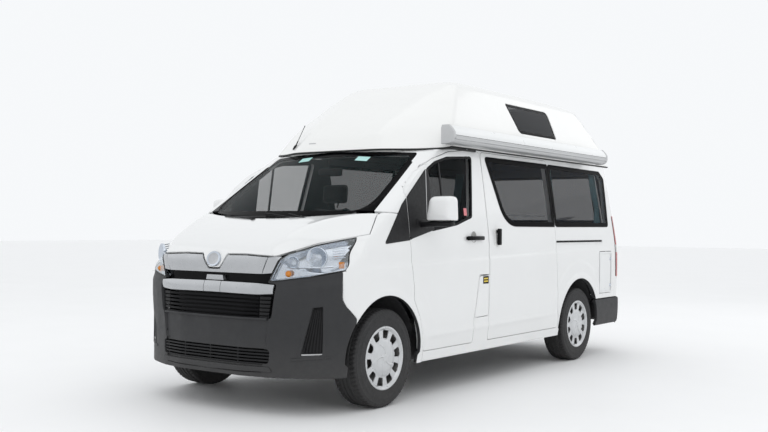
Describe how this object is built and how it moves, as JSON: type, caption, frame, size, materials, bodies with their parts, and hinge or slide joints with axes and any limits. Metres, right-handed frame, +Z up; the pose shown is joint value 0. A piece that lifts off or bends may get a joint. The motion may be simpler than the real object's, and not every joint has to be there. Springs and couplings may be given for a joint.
{
  "type": "camper van",
  "caption": "High-roof camper van with opening front doors, bonnet, tailgate, flaps and roof vent, steered front wheels, rolling wheels, side awning and fitted cabin.",
  "frame": {"origin": "middle of the footprint on the ground, under the centre of the bounding box", "axes": "+Z up, -Y towards the nose, +X towards the vehicle's left side"},
  "size_m": [2.4736, 5.1, 2.6045],
  "materials": {
    "underbody": "satin black",
    "white_paint": "gloss",
    "silver_trim": "satin silver",
    "bumper_plastic": "grained",
    "lamp_clear": "clear lens over chrome",
    "screen_glass": "clear green tint",
    "dark_glass": "privacy tint",
    "lamp_red": "red lens",
    "gelcoat": "moulded gloss",
    "awning_case": "powder coated",
    "black_plastic": "fine grain",
    "dash_plastic": "grained",
    "seat_fabric": "woven",
    "bench_fabric": "woven",
    "cabinet_board": "laminate",
    "curtain_cloth": "soft weave",
    "cast_metal": "cast",
    "exhaust_steel": "aluminised",
    "rim_silver": "satin silver",
    "tyre": "tread rubber"
  },
  "bodies": {
    "body": {"floor_pan": "underbody", "side_panel_left": "white_paint", "side_panel_right": "white_paint", "windscreen_frame": "white_paint", "front_wings": "white_paint", "grille": "silver_trim", "front_bumper": "bumper_plastic", "headlights": "lamp_clear", "windscreen": "screen_glass", "sliding_door": "white_paint", "sliding_door_glass": "dark_glass", "side_windows": "dark_glass", "rear_bumper": "bumper_plastic", "tail_lights": "lamp_red", "high_roof": "gelcoat", "roof_windows": "dark_glass", "awning": "awning_case", "antenna": "black_plastic", "dashboard": "dash_plastic", "front_seats": "seat_fabric", "rear_bench": "bench_fabric", "kitchen_cabinet": "cabinet_board", "curtains": "curtain_cloth", "engine": "cast_metal", "fuel_tank": "black_plastic", "exhaust": "exhaust_steel", "front_suspension": "underbody", "rear_axle": "underbody"},
    "front_door_left": {"front_door_left": "white_paint", "door_glass_left": "dark_glass", "mirror_left": "white_paint"},
    "front_door_right": {"front_door_right": "white_paint", "door_glass_right": "dark_glass", "mirror_right": "white_paint"},
    "bonnet": {"bonnet": "white_paint"},
    "tailgate": {"tailgate": "white_paint", "tailgate_glass": "dark_glass"},
    "fuel_flap": {"fuel_flap": "white_paint"},
    "service_hatch": {"service_hatch": "white_paint"},
    "roof_vent": {"roof_vent": "gelcoat"},
    "steering_wheel": {"steering_wheel": "black_plastic"},
    "knuckle_left": {"knuckle_left": "underbody"},
    "knuckle_right": {"knuckle_right": "underbody"},
    "wheel_front_left": {"tyre_front_left": "tyre", "rim_front_left": "rim_silver"},
    "wheel_front_right": {"tyre_front_right": "tyre", "rim_front_right": "rim_silver"},
    "wheel_rear_left": {"tyre_rear_left": "tyre", "rim_rear_left": "rim_silver"},
    "wheel_rear_right": {"tyre_rear_right": "tyre", "rim_rear_right": "rim_silver"}
  },
  "joints": [
    {"name": "front_door_left_hinge", "type": "hinge", "parent": "body", "child": "front_door_left", "pos_m": [0.96, -1.4, 0.92], "axis": [0, 0, -1], "range_deg": [0, 68]},
    {"name": "front_door_right_hinge", "type": "hinge", "parent": "body", "child": "front_door_right", "pos_m": [-0.96, -1.4, 0.92], "axis": [0, 0, 1], "range_deg": [0, 68]},
    {"name": "bonnet_hinge", "type": "hinge", "parent": "body", "child": "bonnet", "pos_m": [0, -1.767, 1.372], "axis": [-1, 0, 0], "range_deg": [0, 50]},
    {"name": "tailgate_hinge", "type": "hinge", "parent": "body", "child": "tailgate", "pos_m": [0, 2.34941, 1.9347], "axis": [1, 0, 0], "range_deg": [0, 85]},
    {"name": "fuel_flap_hinge", "type": "hinge", "parent": "body", "child": "fuel_flap", "pos_m": [0.95908, -0.5282, 0.552], "axis": [-0.0238, -0.2011, -0.9793], "range_deg": [0, 100]},
    {"name": "service_hatch_hinge", "type": "hinge", "parent": "body", "child": "service_hatch", "pos_m": [0.968, 1.931, 0.836], "axis": [0, 0, -1], "range_deg": [0, 110]},
    {"name": "roof_vent_hinge", "type": "hinge", "parent": "body", "child": "roof_vent", "pos_m": [0, 1.85, 2.5705], "axis": [-1, 0, 0], "range_deg": [0, 50]},
    {"name": "steer_left", "type": "hinge", "parent": "body", "child": "knuckle_left", "pos_m": [0.8, -1.745, 0.352], "axis": [0, 0, 1], "range_deg": [-32, 32]},
    {"name": "steer_right", "type": "hinge", "parent": "body", "child": "knuckle_right", "pos_m": [-0.8, -1.745, 0.352], "axis": [0, 0, 1], "range_deg": [-32, 32]},
    {"name": "steering_wheel_turn", "type": "hinge", "parent": "body", "child": "steering_wheel", "pos_m": [-0.43, -1.401, 1.1], "axis": [0, 0.788, 0.6157], "range_deg": [-480, 480]},
    {"name": "wheel_front_left_spin", "type": "hinge", "parent": "knuckle_left", "child": "wheel_front_left", "pos_m": [0.836, -1.745, 0.352], "axis": [1, 0, 0], "continuous": true},
    {"name": "wheel_rear_left_spin", "type": "hinge", "parent": "body", "child": "wheel_rear_left", "pos_m": [0.836, 1.465, 0.352], "axis": [1, 0, 0], "continuous": true},
    {"name": "wheel_front_right_spin", "type": "hinge", "parent": "knuckle_right", "child": "wheel_front_right", "pos_m": [-0.836, -1.745, 0.352], "axis": [1, 0, 0], "continuous": true},
    {"name": "wheel_rear_right_spin", "type": "hinge", "parent": "body", "child": "wheel_rear_right", "pos_m": [-0.836, 1.465, 0.352], "axis": [1, 0, 0], "continuous": true}
  ],
  "couplings": [
    {"joint": "steer_right", "follows": "steer_left", "ratio": 1},
    {"joint": "steering_wheel_turn", "follows": "steer_left", "ratio": 15}
  ]
}
